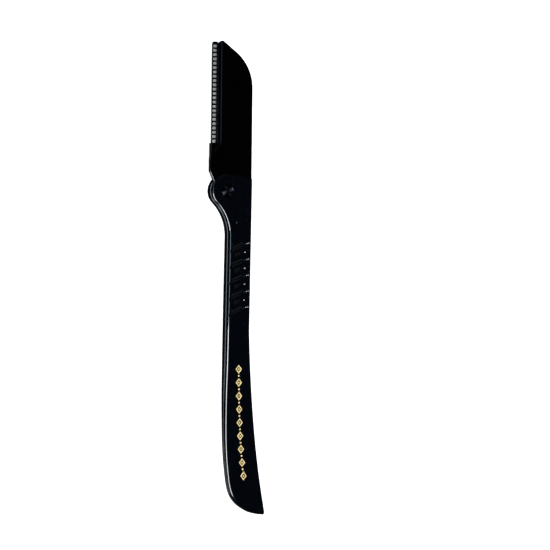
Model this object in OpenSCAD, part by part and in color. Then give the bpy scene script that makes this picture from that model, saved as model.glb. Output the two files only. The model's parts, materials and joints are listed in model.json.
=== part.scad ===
// Folding eyebrow razor. A guarded blade sits in a flat head, which turns about a rivet
// and folds into the channel between the two scales of the handle.
// Design frame: rivet axis at x = 0 and y = 0, head towards +Y, cutting edge towards -X,
// outer face of the back scale on z = 0. Every piece is then moved by the same shift,
// which puts the origin under the middle of the open razor.

/* [Handle outline] */
// From the rivet axis to the tip of the tail
handle_reach = 109.2; // [102:0.1:120]
// Radius of the round nose about the rivet axis
nose_r = 5.55; // [5.3:0.05:6.2]
// From the rivet axis to the spine side of the nose
spine_x = 8.62; // [8.2:0.02:9.6]
// How far the spine side draws in between the nose and the waist
spine_pinch = 1; // [0:0.05:1.2]
// From the rivet axis to the blade side of the waist
waist_x = 0.6; // [-0.5:0.05:1]
// Radius of the hollow between the nose and the waist
hollow_r = 15.7; // [12:0.1:20]
// From the rivet axis to where the spine side starts to flare
flare_start = 47; // [40:0.5:55]
// From the rivet axis sideways to the tip of the tail
tail_x = 14; // [12:0.05:16]
// Slope of the top edge of the scales, in degrees
top_slope = 9; // [6:0.5:12]
// Rounding of the corner between the top edge and the spine side
corner_r = 0.6; // [0.5:0.05:1]
// Rounding of the tip of the tail
tip_r = 0.8; // [0.6:0.05:1.2]

/* [Handle thickness] */
// Thickness of the back scale at the nose
back_t = 2.4; // [2.2:0.05:3]
// Thickness of the front scale
front_t = 1.2; // [1.1:0.05:2]
// Height of the channel between the scales
channel_gap = 1.8; // [1.6:0.05:2.6]
// Rounding of the rims of both scales
rim_r = 0.4; // [0.2:0.05:0.5]
// Bevel around the foot of the back scale
foot_bevel = 0.25; // [0.1:0.05:0.4]
// From the rivet axis to where the handle starts to thin
taper_start = 48; // [46:0.5:60]
// From the rivet axis to where the handle stops thinning
taper_end = 100; // [80:0.5:102]
// How much the back scale thins towards the tail
back_taper = 1.6; // [0:0.05:1.7]
// How much the spacer thins towards the tail
core_taper = 0.7; // [0:0.05:1]

/* [Spine spacer] */
// Thickness of the wall between the channel and the spine side
spine_wall = 2.2; // [1.8:0.05:2.3]
// How far the spacer stands back from the rims of the scales
core_inset = 0.15; // [0.05:0.01:0.4]
// From the rivet axis to the end of the channel
channel_reach = 77; // [60:0.5:85]
// Rounding at the end of the channel
channel_end_r = 5; // [1:0.1:5.5]
// From the rivet axis down to the stop face that the open head rests on
stop_drop = 1.5; // [0.5:0.1:3]

/* [Grip] */
// Number of grooves in the front scale
groove_count = 9; // [1:1:9]
// Distance between neighbouring grooves along the handle
groove_pitch = 2.7; // [1.8:0.05:3]
// Width of a groove
groove_w = 1; // [0.5:0.05:1.4]
// Depth of a groove at its spine end
groove_depth = 0.35; // [0.15:0.01:0.6]
// Length of the long grooves
groove_long = 5.9; // [4.5:0.1:6.2]
// Length of the short grooves
groove_short = 4.3; // [2:0.1:4.6]
// Slope of the grooves, in degrees
groove_slope = 19; // [10:1:30]
// From the rivet axis to the spine end of the first groove
grip_start = 17.6; // [16:0.1:20]
// From the spine side to the ends of the long grooves
grip_margin = 1.2; // [0.9:0.05:2]

/* [Head outline] */
// From the rivet axis to the peak of the head
head_reach = 50.65; // [46:0.05:54]
// From the rivet axis to the spine side of the head
head_x = 8.86; // [7.8:0.01:9.6]
// From the rivet axis to the outer edge of the guard
guard_x = 5.6; // [5.2:0.05:5.8]
// From the rivet axis to the blade side of the base
base_x = 6.1; // [5.6:0.02:6.2]
// From the rivet axis up to the shoulder that carries the guard
base_reach = 16.1; // [14:0.05:18]
// From the rivet axis up to where the base narrows
neck_reach = 6.6; // [6:0.05:8]
// Angle of the narrowing neck from the long axis, in degrees
neck_slope = 24.8; // [20:0.1:28]
// Radius of the eye about the rivet axis
eye_r = 4.9; // [4.4:0.05:5.2]
// Radius of the crown
crown_r = 15.5; // [8:0.5:18]
// Slope of the straight stretch of the crown, in degrees
crown_slope = 36.8; // [30:0.1:45]
// From the rivet axis to the peak, towards the cutting edge
peak_x = 2.05; // [1:0.05:2.6]
// How far the open head leans over towards its spine, in degrees
head_lean = 0.7; // [0:0.1:1.5]
// How far the head turns from open to folded, in degrees
fold_angle = 179; // [170:0.5:180]

/* [Head thickness] */
// Thickness of the head
head_t = 1.6; // [1.4:0.05:2.2]
// Thickness of the head beside the guard
lip_t = 0.95; // [0.9:0.01:1.2]
// Width of the bevel beside the guard
bevel_w = 1.09; // [0.6:0.01:1.6]

/* [Guard and blade] */
// Width of the guard
guard_w = 2.15; // [1.8:0.01:2.3]
// Thickness of the guard
guard_t = 0.6; // [0.5:0.01:0.8]
// Number of windows in the guard
window_count = 23; // [5:1:23]
// Width of the ribs between the windows
rib_w = 0.53; // [0.3:0.01:0.7]
// Width of the rim outside the windows
rim_w = 0.32; // [0.15:0.01:0.35]
// From the base's shoulder to the first window
window_margin = 0.22; // [0.1:0.01:0.4]
// How far the guard's rounded end rises past the blade side of the head
guard_rise = 0.5; // [0.2:0.05:0.8]
// Width of a window across the guard
window_w = 1.22; // [0.8:0.01:1.45]
// Thickness of the blade
blade_t = 0.2; // [0.12:0.01:0.3]
// Width of the blade
blade_w = 4.7; // [4.2:0.05:5]
// Width of the ground bevel along the cutting edge
grind_w = 0.7; // [0.3:0.05:1]
// Radius of the pegs that locate the blade
peg_r = 0.7; // [0.5:0.01:0.85]

/* [Rivet] */
// Radius of the rivet's barrel
barrel_r = 1.5; // [1.3:0.01:1.7]
// Radius of the post pressed into the barrel
post_r = 0.9; // [0.7:0.01:1.1]
// Radius of the two rivet heads
rivet_head_r = 2.3; // [2:0.01:2.6]
// Thickness of the two rivet heads
rivet_head_t = 0.4; // [0.3:0.01:0.5]
// How far the front rivet head stands proud of the scale
rivet_proud = 0.1; // [0:0.01:0.2]
// Radius of the washers
washer_r = 3.6; // [3:0.05:4.2]
// Thickness of the washers
washer_t = 0.2; // [0.15:0.01:0.25]

/* [Dowels and catch] */
// Radius of the dowels in the spine wall
wall_dowel_r = 0.45; // [0.3:0.01:0.55]
// Radius of the dowels in the tail
tail_dowel_r = 0.8; // [0.5:0.01:1.2]
// Radius of the catch pin
catch_r = 0.4; // [0.25:0.01:0.6]
// From the rivet axis down to the catch pin
catch_drop = 10.6; // [9.5:0.1:14]
// From the rivet axis sideways to the catch pin
catch_x = 3.35; // [2.6:0.05:4.2]

/* [Ornament] */
// From the rivet axis to the first lozenge of the ornament
ornament_start = 60; // [59:0.1:62]
// Distance between neighbouring lozenges
lozenge_pitch = 4.5; // [4:0.05:4.6]
// Number of lozenges
lozenge_count = 9; // [1:1:9]
// Length of a lozenge
lozenge_l = 3; // [1.5:0.05:3.2]
// Width of a lozenge
lozenge_w = 2.2; // [1.2:0.05:3]
// Radius of the dots between the lozenges
dot_r = 0.3; // [0.15:0.01:0.38]

/* [Hidden] */
$fn = 64;
// Overrun of every cut
over = 1;
// Running clearance of the head on the barrel
running_gap = 0.05;
// Clearance around a piece that is set in a hole or a pocket
fit_gap = 0.02;
// Room between the spacer and each scale, for the bond
bond_gap = 0.02;
// Room between the flat faces of a washer and its neighbours
washer_gap = 0.01;
// Room between the open head and its stop face
stop_gap = 0.05;
// How far the back rivet head lies below the back face
rivet_sunk = 0.1;
// Room between the barrel's end and the head of the post
barrel_end_gap = 0.05;
// Depth of the rings turned into the front rivet head, and of each ring's width
ring_depth = 0.06;
ring_w = 0.16;
// Skin left outside the ends of the dowels
dowel_skin = 0.4;
// Height of the catch pin above the front face
catch_dome = 0.12;
// How far the catch pin reaches into the channel
catch_reach = 0.08;
// Radius and depth of the dimple that the catch pin meets when the head is folded
dimple_r = 0.5;
dimple_depth = 0.1;
// How far the base stands proud below its step, and where the step lies
base_step = 0.08;
step_reach = 11;
// Rounding of the corner at the top of the base, and of the stop shoulder
base_corner_r = 0.25;
stop_corner_r = 0.5;
// Rounding of the peak
peak_r = 0.8;
// Slope from the peak down to the guard, in degrees
peak_slope = 31.5;
// Rounding of the outer end of the guard, and what its end leaves free of windows
guard_end_r = 0.7;
window_rest = 0.6;
// Depth of the pockets for the pegs
peg_depth = 0.6;
// How far the blade's ends stand back from the ends of the guard
blade_margin = 0.35;
// How far the blade's corner stays inside the crown
blade_crown_gap = 0.8;
// Width left at the cutting edge after grinding
edge_t = 0.03;
// Depth of the foil in the front scale, and how far it stands proud
foil_depth = 0.06;
foil_proud = 0.02;
// Width of the foil frame of a lozenge
foil_frame = 0.42;
// Depth of the grooves at their blade end
groove_shallow = 0.06;

// Exponent of the flare of the spine side
flare_power = 1.62;
// Blade side of the handle below the waist: share of the reach below the rivet,
// and share of the way from the waist to the tip of the tail
edge_shares = [
    [0.227, -0.019],
    [0.375, -0.049],
    [0.524, -0.075],
    [0.647, -0.091],
    [0.772, -0.077],
    [0.864, -0.02],
    [0.927, 0.075],
    [0.963, 0.267],
    [0.988, 0.586],
    [0.997, 0.837],
    [1, 1]
];
// Places of the dowels down the handle, as shares of the handle's reach
dowel_shares = [0.064, 0.4, 0.77, 0.92];
// Least wall between the channel's end and the dowel below it
dowel_wall = 1;
// Places of the two pegs along the guard, as shares of its length
peg_shares = [0.2, 0.8];
// Places of the rings on the rivet head, as shares of its radius
ring_shares = [0.4, 0.6, 0.8];
// Steps along the nose, the hollow and each stretch of the blade side
nose_steps = 34;
hollow_steps = 6;
edge_steps = 3;
// Steps around a small rounding and around the eye
round_steps = 4;
eye_steps = 28;
crown_steps = 12;
// Steps of the taper
taper_steps = 16;

// Heights of the layers at the rivet
head_low = back_t + (channel_gap - head_t) / 2;
head_top = head_low + head_t;
head_mid = (head_low + head_top) / 2;
front_low = back_t + channel_gap;
handle_t = front_low + front_t;
// The washers lie half in the scales
washer_sink = washer_t + 2 * washer_gap - (channel_gap - head_t) / 2;

// The taper towards the tail
function bound(v, low, high) = max(low, min(high, v));
function ease(t) = (1 - cos(180 * t)) / 2;
function taper(y) = ease(bound((-y - taper_start) / (taper_end - taper_start), 0, 1));
back_top_at = function (y) back_t - back_taper * taper(y);
front_low_at = function (y) front_low - (back_taper + core_taper) * taper(y);
front_top_at = function (y) front_low_at(y) + front_t;
ground_at = function (y) 0;

// Helpers for outlines
function unit(v) = v / norm(v);
function turned(p, a) = [p.x * cos(a) - p.y * sin(a), p.x * sin(a) + p.y * cos(a)];
function arc(c, r, a, b, n) = [for (k = [0:n]) c + r * [cos(a + (b - a) * k / n), sin(a + (b - a) * k / n)]];
function inset(p, d) = [
    for (i = [0:len(p) - 1])
        let (
            before = unit(p[i] - p[(i + len(p) - 1) % len(p)]),
            after = unit(p[(i + 1) % len(p)] - p[i]),
            u = [-before.y, before.x],
            v = [-after.y, after.x]
        )
        p[i] + d * (u + v) / (1 + u * v)
];
function knot(p, i) = p[bound(i, 0, len(p) - 1)];
function between(a, b, c, d, t) =
    b + t * (c - a) / 2 + t * t * (2 * a - 5 * b + 4 * c - d) / 2 + t * t * t * (3 * b - a - 3 * c + d) / 2;
function smooth(p, n) = [
    for (i = [0:len(p) - 2], k = [1:n]) between(knot(p, i - 1), p[i], p[i + 1], knot(p, i + 2), k / n)
];

// Spine side of the handle, as the distance from the rivet axis at a place y
function spine_edge(y) =
    let (
        drawn_in = spine_pinch * bound(-y / flare_start, 0, 1),
        flare = pow(max(0, (-y - flare_start) / (handle_reach - flare_start)), flare_power)
    )
    spine_x - drawn_in + (tail_x - spine_x + spine_pinch) * flare;
top_touch = nose_r * [sin(top_slope), cos(top_slope)];
corner_c = [
    spine_x - corner_r,
    (nose_r - corner_r - (spine_x - corner_r) * sin(top_slope)) / cos(top_slope)
];
tip_c = [spine_edge(tip_r - handle_reach) - tip_r, tip_r - handle_reach];
function on_circle(c, r, y) = c.x + sqrt(max(0, r * r - (y - c.y) * (y - c.y)));
function right_edge(y) =
    y >= top_touch.y ? on_circle([0, 0], nose_r, y)
    : y >= corner_c.y + corner_r * cos(top_slope) ? top_touch.x + (top_touch.y - y) / tan(top_slope)
    : y >= corner_c.y ? on_circle(corner_c, corner_r, y)
    : y >= tip_c.y ? spine_edge(y)
    : on_circle(tip_c, tip_r, y);

// Blade side of the handle: nose, hollow and long edge, from the top down
hollow_c = [
    waist_x - hollow_r,
    -sqrt((nose_r + hollow_r) * (nose_r + hollow_r) - (hollow_r - waist_x) * (hollow_r - waist_x))
];
hollow_turn = atan2(-hollow_c.y, -hollow_c.x);
waist = [waist_x, hollow_c.y];
function edge_x(share) = waist_x + share * (tip_c.x - waist_x);
edge_knots = concat(
    [waist],
    [for (s = edge_shares) [edge_x(s.y), -s.x * handle_reach]]
);
left_points = concat(
    arc([0, 0], nose_r, 90, 180 + hollow_turn, nose_steps),
    [for (k = [1:hollow_steps]) hollow_c + hollow_r * [
        cos(hollow_turn * (1 - k / hollow_steps)),
        sin(hollow_turn * (1 - k / hollow_steps))
    ]],
    smooth(edge_knots, edge_steps)
);
rungs = len(left_points) - 1;
handle_points = concat(
    left_points,
    [for (i = [rungs - 1:-1:1]) [right_edge(left_points[i].y), left_points[i].y]]
);

// Outline of the head, before it leans, counterclockwise from its peak
crown_n = [sin(crown_slope), cos(crown_slope)];
crown_c = [
    head_x - crown_r,
    (crown_n * [-peak_x, head_reach] - crown_r - (head_x - crown_r) * crown_n.x) / crown_n.y
];
lip_x = guard_x - guard_w;
lip_top = head_reach - (lip_x - peak_x) * tan(peak_slope);
neck_dir = [sin(neck_slope), -cos(neck_slope)];
neck_top = [-base_x, neck_reach];
neck_along = -neck_top * neck_dir;
neck_end = neck_top + neck_dir * (neck_along - sqrt(neck_along * neck_along - neck_top * neck_top + eye_r * eye_r));
peak_c = [-peak_x, head_reach - peak_r];
head_points = concat(
    arc(peak_c, peak_r, 90 - crown_slope, 90 + peak_slope, round_steps),
    [[-lip_x, lip_top], [-lip_x, base_reach]],
    arc(
        [base_corner_r + base_step - base_x, base_reach - base_corner_r],
        base_corner_r, 90, 180, round_steps
    ),
    [[base_step - base_x, step_reach + base_step], [-base_x, step_reach]],
    [neck_top],
    arc([0, 0], eye_r, atan2(neck_end.y, neck_end.x), 360 - asin(stop_drop / eye_r), eye_steps),
    arc([head_x - stop_corner_r, stop_corner_r - stop_drop], stop_corner_r, -90, 0, round_steps),
    arc(crown_c, crown_r, 0, 90 - crown_slope, crown_steps)
);

// Guard and blade, before the head leans
guard_l = lip_top + guard_rise - base_reach;
first_window = base_reach + window_margin;
// The windows share the guard's length, so that they keep together with it
window_pitch = (guard_l - window_margin - window_rest) / window_count;
window_l = window_pitch - rib_w;
blade_x = guard_x - rim_w - fit_gap;
blade_low = base_reach + blade_margin;
blade_high = base_reach + guard_l - blade_margin;
blade_back = blade_w - blade_x;
// Along the crown's straight stretch, the height at a place x
function crown_at(x) = head_reach - (x + peak_x) * tan(crown_slope);
blade_points = [
    [-blade_x, blade_low],
    [blade_back, blade_low],
    [blade_back, min(blade_high, crown_at(blade_back) - blade_crown_gap)],
    [min(blade_back, (head_reach - blade_crown_gap - blade_high) / tan(crown_slope) - peak_x), blade_high],
    [-blade_x, blade_high]
];
peg_x = (blade_back - lip_x) / 2;
peg_spots = [for (s = peg_shares) [peg_x, base_reach + s * guard_l]];

// The whole part is moved so that the origin is under its middle
leaning_points = [for (p = head_points) turned(p, -head_lean)];
all_x = [for (p = concat(handle_points, leaning_points)) p.x];
all_y = [for (p = concat(handle_points, leaning_points)) p.y];
shift = -[max(all_x) + min(all_x), max(all_y) + min(all_y), 0] / 2;

// Every node's name

// Moves a piece of the handle to its place
module on_handle() {
    translate(shift)
        children();
}

// Moves a piece of the head to its place, with the head's lean
module on_head() {
    translate(shift)
        rotate([0, 0, -head_lean])
            children();
}

// A solid between two surfaces over the handle's outline.
// Each row of the profile is an inset, the surface it follows and a height above that.
module handle_shell(profile) {
    count = len(handle_points);
    points = [
        for (row = profile, p = inset(handle_points, row[0])) [p.x, p.y, row[1](p.y) + row[2]]
    ];
    walls = [
        for (k = [0:len(profile) - 2], i = [0:count - 1])
            let (
                a = k * count + i,
                b = k * count + (i + 1) % count
            )
            each [[a, a + count, b + count], [a, b + count, b]]
    ];
    lid = (len(profile) - 1) * count;
    ladder = [
        for (i = [0:rungs - 1])
            let (
                l = i,
                m = i + 1,
                r = (2 * rungs - i) % count,
                s = 2 * rungs - i - 1
            )
            each [
                if (i < rungs - 1) [l, m, s],
                if (i > 0) [l, i < rungs - 1 ? s : m, r]
            ]
    ];
    polyhedron(points, concat(walls, ladder, [for (f = ladder) [f[0] + lid, f[2] + lid, f[1] + lid]]));
}

// Rows of a profile that round an upper rim of radius r on a surface
function rounded_rim(surface, r) = [for (a = [0:30:90]) [r * (1 - cos(a)), surface, r * (sin(a) - 1)]];

// A round hole from a low to a high place, with the overrun where asked
module hole(r, low, high) {
    translate([0, 0, low])
        cylinder(r = r, h = high - low);
}

// Where dowel i stands
function dowel_at(i) =
    let (
        y = -dowel_shares[i] * handle_reach,
        x = i < 2 ? spine_edge(y) - (spine_wall + core_inset) / 2 : (spine_edge(y) + waist_x) / 2
    )
    [x, y];
function dowel_r(i) = i < 2 ? wall_dowel_r : tail_dowel_r;

// A dowel, or its hole when it is made wider
module dowel_body(i, wider = 0) {
    place = dowel_at(i);
    translate([place.x, place.y, dowel_skin - wider])
        cylinder(r = dowel_r(i) + wider, h = front_top_at(place.y) - 2 * (dowel_skin - wider));
}

// Flat outline of one groove, its spine end at the origin
module groove_outline(length) {
    run = length - groove_w;
    rotate(groove_slope)
        translate([-groove_w / 2, 0]) {
            circle(d = groove_w);
            translate([-run, 0])
                circle(d = groove_w);
            translate([-run, -groove_w / 2])
                square([run, groove_w]);
        }
}

// The grooves of the grip as a solid to cut away, shallower towards the blade side
module grooves() {
    deep_x = spine_edge(-grip_start) - grip_margin;
    intersection() {
        translate([0, 0, handle_t - groove_depth])
            linear_extrude(groove_depth + over)
                for (i = [0:groove_count - 1]) {
                    y = -grip_start - i * groove_pitch;
                    long = i % 2 == 0;
                    end_x = spine_edge(y) - grip_margin - (long ? 0 : groove_w);
                    translate([end_x, y])
                        groove_outline(long ? groove_long : groove_short);
                }
        rotate([90, 0, 0])
            linear_extrude(handle_reach)
                polygon([
                    [deep_x - 2 * groove_long, handle_t - groove_shallow],
                    [deep_x - groove_long, handle_t - groove_shallow],
                    [deep_x - groove_w, handle_t - groove_depth],
                    [deep_x + groove_long, handle_t - groove_depth],
                    [deep_x + groove_long, handle_t + over],
                    [deep_x - 2 * groove_long, handle_t + over]
                ]);
    }
}

// Centre line of the ornament at a place y
function ornament_x(y) =
    (spine_edge(y) + edge_x(lookup(-y / handle_reach, edge_shares))) / 2;

// Flat outline of the ornament: lozenge frames with a small lozenge inside, and dots between them
module ornament_outline() {
    for (i = [0:lozenge_count - 1]) {
        y = -ornament_start - i * lozenge_pitch;
        gap_y = y - lozenge_pitch / 2;
        translate([ornament_x(y), y]) {
            difference() {
                lozenge(lozenge_w, lozenge_l);
                lozenge(lozenge_w - 2 * foil_frame, lozenge_l - 2 * foil_frame * lozenge_l / lozenge_w);
            }
            lozenge(lozenge_w * 0.25, lozenge_l * 0.25);
        }
        if (i < lozenge_count - 1)
            translate([ornament_x(gap_y), gap_y])
                circle(r = dot_r);
    }
}

// A flat lozenge of width w and length l
module lozenge(w, l) {
    polygon([[w / 2, 0], [0, l / 2], [-w / 2, 0], [0, -l / 2]]);
}

// A slab that follows the front face of the handle, from low to high above it
module face_slab(low, high) {
    stations = [
        for (k = [0:taper_steps]) -taper_start + over - (taper_end - taper_start + over) * k / taper_steps
    ];
    rotate([90, 0, 90])
        linear_extrude(tail_x)
            polygon(concat(
                [for (y = stations) [y, front_top_at(y) + low]],
                [for (k = [taper_steps:-1:0]) [stations[k], front_top_at(stations[k]) + high]]
            ));
}

// The ornament as a solid, from low to high above the front face
module ornament_solid(low, high) {
    intersection() {
        linear_extrude(handle_t + over)
            ornament_outline();
        face_slab(low, high);
    }
}

// Handle: the two scales and the spacer
module front_scale() {
    color("#0b0c10")
        on_handle()
            difference() {
                handle_shell(concat([[0, front_low_at, 0]], rounded_rim(front_top_at, rim_r)));
                hole(barrel_r + fit_gap, front_low - over, handle_t + over);
                hole(rivet_head_r + fit_gap, handle_t - rivet_head_t, handle_t + over);
                hole(washer_r + fit_gap, front_low - over, front_low + washer_sink);
                translate([catch_x, -catch_drop])
                    hole(catch_r + fit_gap, front_low - over, handle_t + over);
                for (i = [0:3])
                    dowel_body(i, fit_gap);
                ornament_solid(-foil_depth, over);
                grooves();
            }
}

module back_scale() {
    color("#0b0c10")
        on_handle()
            difference() {
                handle_shell(concat(
                    [[foot_bevel, ground_at, 0], [0, ground_at, foot_bevel]],
                    rounded_rim(back_top_at, min(rim_r, back_t - back_taper - foot_bevel - fit_gap))
                ));
                hole(barrel_r + fit_gap, -over, back_t + over);
                hole(rivet_head_r + fit_gap, -over, rivet_sunk + rivet_head_t);
                hole(washer_r + fit_gap, back_t - washer_sink, back_t + over);
                for (i = [0:3])
                    dowel_body(i, fit_gap);
            }
}

// Flat outline of the channel, which ends short of the dowel below it
module channel_outline() {
    reach = min(channel_reach, dowel_shares[2] * handle_reach - tail_dowel_r - dowel_wall);
    end_y = channel_end_r - reach;
    polygon(concat(
        [[-handle_reach, nose_r + over], [spine_edge(0) - spine_wall, nose_r + over]],
        [
            for (k = [0:taper_steps - 1])
                let (y = end_y * k / taper_steps)
                [spine_edge(y) - spine_wall, y]
        ],
        arc([spine_edge(end_y) - spine_wall - channel_end_r, end_y], channel_end_r, 0, -90, round_steps),
        [[-handle_reach, -reach]]
    ));
}

module spine_spacer() {
    color("#101114")
        on_handle()
            difference() {
                intersection() {
                    linear_extrude(handle_t)
                        polygon(inset(handle_points, core_inset));
                    core_slab();
                }
                translate([0, 0, -over])
                    linear_extrude(handle_t + 2 * over)
                        channel_outline();
                rotate([0, 0, -head_lean])
                    translate([-handle_reach, -stop_drop - stop_gap, -over])
                        cube([2 * handle_reach, handle_reach, handle_t + 2 * over]);
                for (i = [0:3])
                    dowel_body(i, fit_gap);
            }
}

// The layer between the scales, all along the handle
module core_slab() {
    stations = concat(
        [nose_r],
        [for (k = [0:taper_steps]) -taper_start - (taper_end - taper_start) * k / taper_steps],
        [-handle_reach]
    );
    rotate([90, 0, 90])
        translate([0, 0, -tail_x])
            linear_extrude(3 * tail_x)
                polygon(concat(
                    [for (y = stations) [y, back_top_at(y) + bond_gap]],
                    [for (k = [len(stations) - 1:-1:0]) [stations[k], front_low_at(stations[k]) - bond_gap]]
                ));
}

module scale_dowel(i) {
    color("#8d9096")
        on_handle()
            dowel_body(i);
}

// Rivet, washers and catch
module rivet_barrel() {
    top = handle_t + rivet_proud;
    seat = handle_t - rivet_head_t;
    end = rivet_sunk + rivet_head_t + barrel_end_gap;
    color("#26272b")
        on_handle()
            difference() {
                rotate_extrude()
                    polygon(concat(
                        [[0, end], [barrel_r, end], [barrel_r, seat], [rivet_head_r, seat]],
                        [[rivet_head_r, top - ring_depth], [rivet_head_r - ring_depth, top]],
                        [for (k = [len(ring_shares) - 1:-1:0]) each ring_groove(ring_shares[k] * rivet_head_r, top)],
                        [[0, top]]
                    ));
                hole(post_r + fit_gap / 2, end - over, seat - post_r);
            }
}

// One ring turned into the rivet head, as points from outside to inside
function ring_groove(r, top) = [
    [r + ring_w / 2, top],
    [r, top - ring_depth],
    [r - ring_w / 2, top]
];

module rivet_post() {
    color("#26272b")
        on_handle() {
            hole(rivet_head_r, rivet_sunk, rivet_sunk + rivet_head_t);
            hole(post_r, rivet_sunk, handle_t - rivet_head_t - post_r - barrel_end_gap);
        }
}

module washer(low) {
    color("#b9a26a")
        on_handle()
            difference() {
                hole(washer_r, low, low + washer_t);
                hole(barrel_r + running_gap, low - over, low + washer_t + over);
            }
}

module catch_pin() {
    color("#3a3c42")
        on_handle()
            translate([catch_x, -catch_drop, 0])
                rotate_extrude()
                    polygon([
                        [0, front_low - catch_reach],
                        [catch_r, front_low - catch_reach],
                        [catch_r, handle_t],
                        [catch_r * 0.6, handle_t + catch_dome * 0.75],
                        [0, handle_t + catch_dome]
                    ]);
}

module tail_ornament() {
    color("#d3bf7a")
        on_handle()
            ornament_solid(-foil_depth, foil_proud);
}

// Head: two halves with the blade between them, and the guard over the edge
module head_bevels() {
    drop = (head_t - lip_t) / 2;
    slope = drop / bevel_w;
    for (side = [0, 1])
        translate([0, 0, head_mid])
            mirror([0, 0, side])
                translate([0, head_reach + over, 0])
                    rotate([90, 0, 0])
                        linear_extrude(head_reach + over - base_reach)
                            polygon([
                                [bevel_w - lip_x, head_t / 2],
                                [-lip_x - over, head_t / 2 - drop - over * slope],
                                [-lip_x - over, head_t / 2 + over],
                                [bevel_w - lip_x, head_t / 2 + over]
                            ]);
}

// The pocket for the blade, open towards the guard
module blade_pocket() {
    translate([0, 0, head_mid - blade_t / 2 - fit_gap])
        linear_extrude(blade_t + 2 * fit_gap)
            polygon(inset(blade_points, -fit_gap));
}

// One half of the head, with its outer face bevelled beside the guard
module head_plate(low) {
    difference() {
        translate([0, 0, low])
            linear_extrude(head_t / 2)
                polygon(head_points);
        head_bevels();
        blade_pocket();
        hole(barrel_r + running_gap, head_low - over, head_top + over);
    }
}

module head_front_half() {
    color("#08090c")
        on_head()
            difference() {
                head_plate(head_mid);
                for (p = peg_spots)
                    translate(p)
                        hole(peg_r + fit_gap, head_mid - over, head_mid + peg_depth + fit_gap);
                rotate(head_lean - fold_angle)
                    translate([catch_x, -catch_drop, head_top - dimple_depth])
                        cylinder(r1 = dimple_r / 2, r2 = dimple_r, h = dimple_depth + fit_gap);
            }
}

module head_back_half() {
    color("#08090c")
        on_head() {
            head_plate(head_low);
            for (p = peg_spots)
                translate(p)
                    hole(peg_r, head_mid - blade_t, head_mid + peg_depth);
        }
}

module blade() {
    flat = blade_x - grind_w;
    color("#b4b2ac")
        on_head()
            difference() {
                intersection() {
                    translate([0, 0, head_mid - blade_t / 2])
                        linear_extrude(blade_t)
                            polygon(blade_points);
                    translate([0, head_reach, head_mid])
                        rotate([90, 0, 0])
                            linear_extrude(head_reach)
                                polygon([
                                    [-blade_x, edge_t / 2],
                                    [-blade_x, -edge_t / 2],
                                    [-flat, -blade_t / 2],
                                    [blade_back + over, -blade_t / 2],
                                    [blade_back + over, blade_t / 2],
                                    [-flat, blade_t / 2]
                                ]);
                }
                for (p = peg_spots)
                    translate(p)
                        hole(peg_r + fit_gap, head_mid - over, head_mid + over);
            }
}

module guard_comb() {
    color("#111216")
        on_head()
            translate([0, 0, head_mid])
                difference() {
                    translate([0, 0, -guard_t / 2])
                        linear_extrude(guard_t)
                            guard_outline();
                    translate([-blade_x - fit_gap, blade_low - fit_gap, -blade_t / 2 - fit_gap])
                        cube([guard_w, blade_high - blade_low + 2 * fit_gap, blade_t + 2 * fit_gap]);
                    for (i = [0:window_count - 1])
                        translate([rim_w - guard_x, first_window + i * window_pitch, -guard_t])
                            cube([window_w, window_l, 2 * guard_t]);
                }
}

// Flat outline of the guard, with its end rounded on both sides
module guard_outline() {
    end_y = base_reach + guard_l - guard_end_r;
    translate([-guard_x, base_reach])
        square([guard_w, guard_l - guard_end_r]);
    translate([guard_end_r - guard_x, base_reach])
        square([guard_w - 2 * guard_end_r, guard_l]);
    for (x = [guard_end_r - guard_x, -lip_x - guard_end_r])
        translate([x, end_y])
            circle(r = guard_end_r);
}

front_scale();
back_scale();
spine_spacer();
scale_dowel(0);  // dowel_1
scale_dowel(1);  // dowel_2
scale_dowel(2);  // dowel_3
scale_dowel(3);  // dowel_4
rivet_barrel();
rivet_post();
washer(head_top + washer_gap);  // front_washer
washer(head_low - washer_gap - washer_t);  // back_washer
catch_pin();
tail_ornament();
head_front_half();
head_back_half();
blade();
guard_comb();
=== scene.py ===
"""Folding eyebrow razor: the visual model and its studio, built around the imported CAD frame.

Sizes are in millimetres in the razor's own plan, whose origin is the rivet's axis on the outer
face of the back scale. X runs from the cutting edge to the spine, Y from the rivet to the tip of
the open head, and Z from the back scale to the front scale. Meshes are made in metres in the
frame's own place.
"""

from __future__ import annotations

import json
import logging
import math

from collections.abc import Callable, Iterable, Sequence
from dataclasses import dataclass, field
from enum import Enum

import bpy
import numpy as np
from mathutils import Matrix, Vector
from mathutils.geometry import delaunay_2d_cdt


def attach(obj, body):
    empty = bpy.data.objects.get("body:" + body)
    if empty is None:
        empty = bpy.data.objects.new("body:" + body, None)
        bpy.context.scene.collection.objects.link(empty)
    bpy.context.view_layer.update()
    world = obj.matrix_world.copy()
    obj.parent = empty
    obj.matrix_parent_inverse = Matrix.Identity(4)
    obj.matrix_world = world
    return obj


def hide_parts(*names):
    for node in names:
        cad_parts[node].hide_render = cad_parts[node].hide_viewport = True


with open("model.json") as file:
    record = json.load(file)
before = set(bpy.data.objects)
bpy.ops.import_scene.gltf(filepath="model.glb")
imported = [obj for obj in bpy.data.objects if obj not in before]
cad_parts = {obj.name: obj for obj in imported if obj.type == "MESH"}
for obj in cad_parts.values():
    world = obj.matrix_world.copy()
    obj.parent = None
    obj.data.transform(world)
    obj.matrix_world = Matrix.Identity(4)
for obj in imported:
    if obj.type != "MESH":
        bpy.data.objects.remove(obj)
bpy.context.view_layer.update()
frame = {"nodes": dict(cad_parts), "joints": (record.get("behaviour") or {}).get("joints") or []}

log = logging.getLogger("razor")

MM = 0.001
PIVOT = frame["joints"][0]["pos_m"]
IMAGE_PX = 550
TINY = 1e-6
SMOOTH_DEGREES = 30.0
LEAST_CORNER = 0.4

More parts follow.
